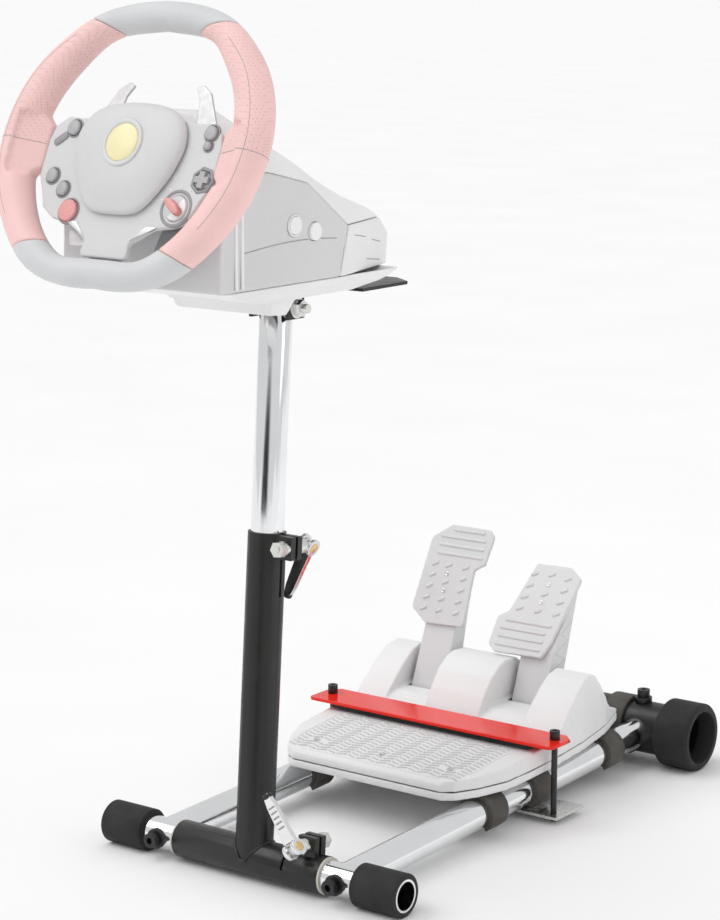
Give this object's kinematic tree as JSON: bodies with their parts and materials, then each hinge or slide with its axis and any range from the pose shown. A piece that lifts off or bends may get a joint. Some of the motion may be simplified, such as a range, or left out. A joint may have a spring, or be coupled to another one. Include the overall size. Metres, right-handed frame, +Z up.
{
  "type": "racing wheel",
  "caption": "Racing wheel with paddles and buttons on a folding height-adjustable tube stand, with a clamped pedal set.",
  "frame": {"origin": "on the floor, under the middle of the whole rig", "axes": "+X to the driver's right, +Y forward from the driver to the pedals, +Z up"},
  "size_m": [0.341, 0.7767, 0.7921],
  "materials": {
    "chrome_tube": "polished chrome",
    "black_paint": "satin powder coat",
    "black_steel": "blackened steel",
    "zinc_steel": "bright zinc",
    "red_paint": "high gloss",
    "rubber": "matt",
    "ring_rubber": "matt",
    "pale_plastic": "fine grain",
    "grey_plastic": "fine grain",
    "top_plastic": "satin",
    "pedal_plastic": "satin",
    "rim_grey": "soft grain",
    "rim_red": "soft grain, part perforated",
    "core_metal": "cast",
    "shaft_steel": "turned",
    "spring_steel": "oiled",
    "board_green": "solder mask",
    "button_grey": "gloss",
    "button_red": "gloss",
    "button_white": "gloss",
    "badge_yellow": "domed lacquer",
    "bush_nylon": "natural nylon",
    "lever_silver": "polished"
  },
  "bodies": {
    "stand_base": {"side_rails": "chrome_tube", "front_cross_tube": "chrome_tube", "front_end_caps": "rubber", "rear_cross_tube": "black_paint", "rear_end_caps": "rubber", "frame_bolts": "black_steel", "rubber_rings": "ring_rubber", "clamp_strip": "zinc_steel", "clamp_bar": "red_paint", "clamp_bar_pad": "rubber", "clamp_screws": "black_steel", "pedal_base_tray": "pale_plastic", "pedal_base_cover": "pale_plastic", "pedal_base_screws": "zinc_steel", "pedal_axles": "shaft_steel", "pedal_springs": "spring_steel"},
    "brake_pedal": {"brake_plate": "pedal_plastic", "brake_stem": "pedal_plastic"},
    "gas_pedal": {"gas_plate": "pedal_plastic", "gas_stem": "pedal_plastic"},
    "column_base": {"lower_column": "black_paint", "sleeve_bushes": "bush_nylon", "clamp_skewers": "zinc_steel"},
    "upper_clamp_lever": {"upper_lever": "lever_silver"},
    "lower_clamp_lever": {"lower_lever": "lever_silver"},
    "column_extension": {"inner_column": "chrome_tube", "pivot_spacers": "bush_nylon"},
    "head": {"mount_plate": "black_paint", "head_fasteners": "zinc_steel", "base_housing": "grey_plastic", "base_top_cover": "top_plastic", "base_rear_cap": "pale_plastic", "base_belly": "top_plastic", "shaft_bearings": "shaft_steel", "centring_spring": "spring_steel", "base_circuit_board": "board_green"},
    "front_base_button": {"base_button_front": "button_white"},
    "rear_base_button": {"base_button_rear": "button_white"},
    "steering_wheel": {"steering_shaft": "shaft_steel", "rim_core": "core_metal", "grip_left": "rim_red", "grip_right": "rim_red", "grip_top": "rim_grey", "grip_bottom": "rim_grey", "hub_panel": "grey_plastic", "hub_pad": "grey_plastic", "hub_back_cover": "grey_plastic", "badge": "badge_yellow"},
    "left_paddle": {"paddle_left": "core_metal"},
    "right_paddle": {"paddle_right": "core_metal"},
    "left_upper_button": {"button_left_upper": "button_grey"},
    "left_middle_button": {"button_left_middle": "button_grey"},
    "left_lower_button": {"button_left_lower": "button_grey"},
    "engine_start_button": {"start_button": "button_red"},
    "right_upper_button": {"button_right_upper": "button_grey"},
    "right_small_button": {"button_right_small": "button_grey"},
    "d_pad_gimbal": {"d_pad_ring": "button_grey"},
    "d_pad_cross": {"d_pad": "button_grey"},
    "mode_dial": {"mode_knob": "button_red"}
  },
  "joints": [
    {"name": "column_fold", "type": "hinge", "parent": "stand_base", "child": "column_base", "pos_m": [0, -0.17497, 0.0196], "axis": [1, 0, 0], "range_deg": [-30, 30]},
    {"name": "column_height", "type": "slide", "parent": "column_base", "child": "column_extension", "axis": [0, 0.072, 0.9974], "range_m": [-0.08, 0.12]},
    {"name": "head_tilt", "type": "hinge", "parent": "column_extension", "child": "head", "pos_m": [0, -0.13862, 0.52299], "axis": [1, 0, 0], "range_deg": [-12, 12]},
    {"name": "steering", "type": "hinge", "parent": "head", "child": "steering_wheel", "pos_m": [0, -0.33181, 0.67037], "axis": [0, -0.9084, 0.4182], "range_deg": [-135, 135], "stiffness_Nm_per_rad": 0.35},
    {"name": "brake", "type": "hinge", "parent": "stand_base", "child": "brake_pedal", "pos_m": [0, 0.21046, 0.06814], "axis": [-1, 0, 0], "range_deg": [0, 12], "stiffness_Nm_per_rad": 14, "springref_deg": -11.46},
    {"name": "gas", "type": "hinge", "parent": "stand_base", "child": "gas_pedal", "pos_m": [0, 0.21046, 0.06814], "axis": [-1, 0, 0], "range_deg": [0, 12], "stiffness_Nm_per_rad": 8, "springref_deg": -11.46},
    {"name": "upper_clamp", "type": "hinge", "parent": "column_base", "child": "upper_clamp_lever", "pos_m": [0.027, -0.12815, 0.30697], "axis": [0.9207, -0.0281, -0.3893], "range_deg": [0, 95]},
    {"name": "lower_clamp", "type": "hinge", "parent": "column_base", "child": "lower_clamp_lever", "pos_m": [0.0655, -0.19906, 0.04701], "axis": [0.7915, 0.044, 0.6096], "range_deg": [0, 95]},
    {"name": "left_paddle_pull", "type": "hinge", "parent": "steering_wheel", "child": "left_paddle", "pos_m": [-0.034, -0.31228, 0.66138], "axis": [0, 0.4182, 0.9084], "range_deg": [0, 5], "stiffness_Nm_per_rad": 1.2, "springref_deg": -6.88},
    {"name": "right_paddle_pull", "type": "hinge", "parent": "steering_wheel", "child": "right_paddle", "pos_m": [0.034, -0.31228, 0.66138], "axis": [0, -0.4182, -0.9084], "range_deg": [0, 5], "stiffness_Nm_per_rad": 1.2, "springref_deg": -6.88},
    {"name": "left_upper_press", "type": "slide", "parent": "steering_wheel", "child": "left_upper_button", "axis": [0, 0.9084, -0.4182], "range_m": [0, 0.001], "stiffness_N_per_m": 500, "springref_m": -0.0008},
    {"name": "left_middle_press", "type": "slide", "parent": "steering_wheel", "child": "left_middle_button", "axis": [0, 0.9084, -0.4182], "range_m": [0, 0.001], "stiffness_N_per_m": 500, "springref_m": -0.0008},
    {"name": "left_lower_press", "type": "slide", "parent": "steering_wheel", "child": "left_lower_button", "axis": [0, 0.9084, -0.4182], "range_m": [0, 0.001], "stiffness_N_per_m": 500, "springref_m": -0.0008},
    {"name": "engine_start_press", "type": "slide", "parent": "steering_wheel", "child": "engine_start_button", "axis": [0, 0.9084, -0.4182], "range_m": [0, 0.001], "stiffness_N_per_m": 500, "springref_m": -0.0008},
    {"name": "right_upper_press", "type": "slide", "parent": "steering_wheel", "child": "right_upper_button", "axis": [0, 0.9084, -0.4182], "range_m": [0, 0.001], "stiffness_N_per_m": 500, "springref_m": -0.0008},
    {"name": "right_small_press", "type": "slide", "parent": "steering_wheel", "child": "right_small_button", "axis": [0, 0.9084, -0.4182], "range_m": [0, 0.001], "stiffness_N_per_m": 500, "springref_m": -0.0008},
    {"name": "front_base_press", "type": "slide", "parent": "head", "child": "front_base_button", "axis": [-1, 0, 0], "range_m": [0, 0.0012], "stiffness_N_per_m": 500, "springref_m": -0.0008},
    {"name": "rear_base_press", "type": "slide", "parent": "head", "child": "rear_base_button", "axis": [-1, 0, 0], "range_m": [0, 0.0012], "stiffness_N_per_m": 500, "springref_m": -0.0008},
    {"name": "d_pad_up_down", "type": "hinge", "parent": "steering_wheel", "child": "d_pad_gimbal", "pos_m": [0.0835, -0.33654, 0.65053], "axis": [1, 0, 0], "range_deg": [-4, 4], "stiffness_Nm_per_rad": 0.3},
    {"name": "d_pad_left_right", "type": "hinge", "parent": "d_pad_gimbal", "child": "d_pad_cross", "pos_m": [0.0835, -0.33654, 0.65053], "axis": [0, 0.4182, 0.9084], "range_deg": [-4, 4], "stiffness_Nm_per_rad": 0.3},
    {"name": "mode_select", "type": "hinge", "parent": "steering_wheel", "child": "mode_dial", "pos_m": [0.064, -0.35063, 0.62949], "axis": [0, -0.9084, 0.4182], "range_deg": [-60, 60]}
  ]
}
